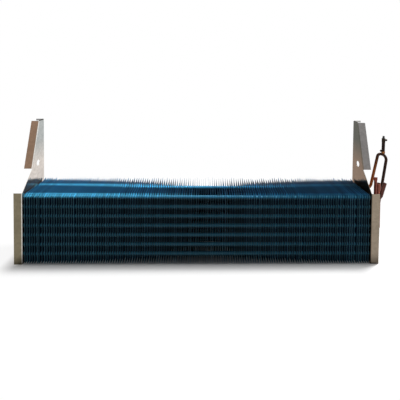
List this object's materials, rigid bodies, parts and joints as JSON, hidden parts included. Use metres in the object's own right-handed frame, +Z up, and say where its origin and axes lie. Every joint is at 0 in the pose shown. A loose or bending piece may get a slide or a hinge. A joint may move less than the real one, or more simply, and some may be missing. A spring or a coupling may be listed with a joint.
{
  "type": "evaporator coil",
  "caption": "Long finned evaporator coil between two folded end plates, with copper hairpin tubes, return bends and a tall suction loop with an access valve at one end.",
  "frame": {"origin": "middle of the underside of the whole part: on the line on which the end plates stand", "axes": "+X along the coil towards the pipe end, +Y from the front flanges to the back, +Z up"},
  "size_m": [1.0353, 0.11, 0.368],
  "materials": {
    "plate_sheet": "satin",
    "fin_sheet": "satin",
    "coil_tube": "satin",
    "pipe_copper": "satin",
    "valve_metal": "satin",
    "valve_cap": "matte"
  },
  "bodies": {
    "root": {"left_end_plate": "plate_sheet", "right_end_plate": "plate_sheet", "fins": "fin_sheet", "front_hairpin_1": "coil_tube", "front_hairpin_2": "coil_tube", "front_hairpin_3": "coil_tube", "front_hairpin_4": "coil_tube", "front_hairpin_5": "coil_tube", "front_hairpin_6": "coil_tube", "front_hairpin_7": "coil_tube", "rear_hairpin_1": "coil_tube", "rear_hairpin_2": "coil_tube", "rear_hairpin_3": "coil_tube", "rear_hairpin_4": "coil_tube", "rear_hairpin_5": "coil_tube", "rear_hairpin_6": "coil_tube", "rear_hairpin_7": "coil_tube", "front_return_bend_1": "coil_tube", "front_return_bend_2": "coil_tube", "front_return_bend_3": "coil_tube", "front_return_bend_4": "coil_tube", "front_return_bend_5": "coil_tube", "front_return_bend_6": "coil_tube", "rear_return_bend_1": "coil_tube", "rear_return_bend_2": "coil_tube", "rear_return_bend_3": "coil_tube", "rear_return_bend_4": "coil_tube", "rear_return_bend_5": "coil_tube", "rear_return_bend_6": "coil_tube", "crossover_bend": "coil_tube", "liquid_inlet": "pipe_copper", "suction_outlet": "pipe_copper", "suction_loop": "pipe_copper", "process_tube": "pipe_copper", "access_stub": "pipe_copper", "access_valve": "valve_metal", "side_tap": "valve_metal", "access_valve_cap": "valve_cap"}
  },
  "joints": []
}
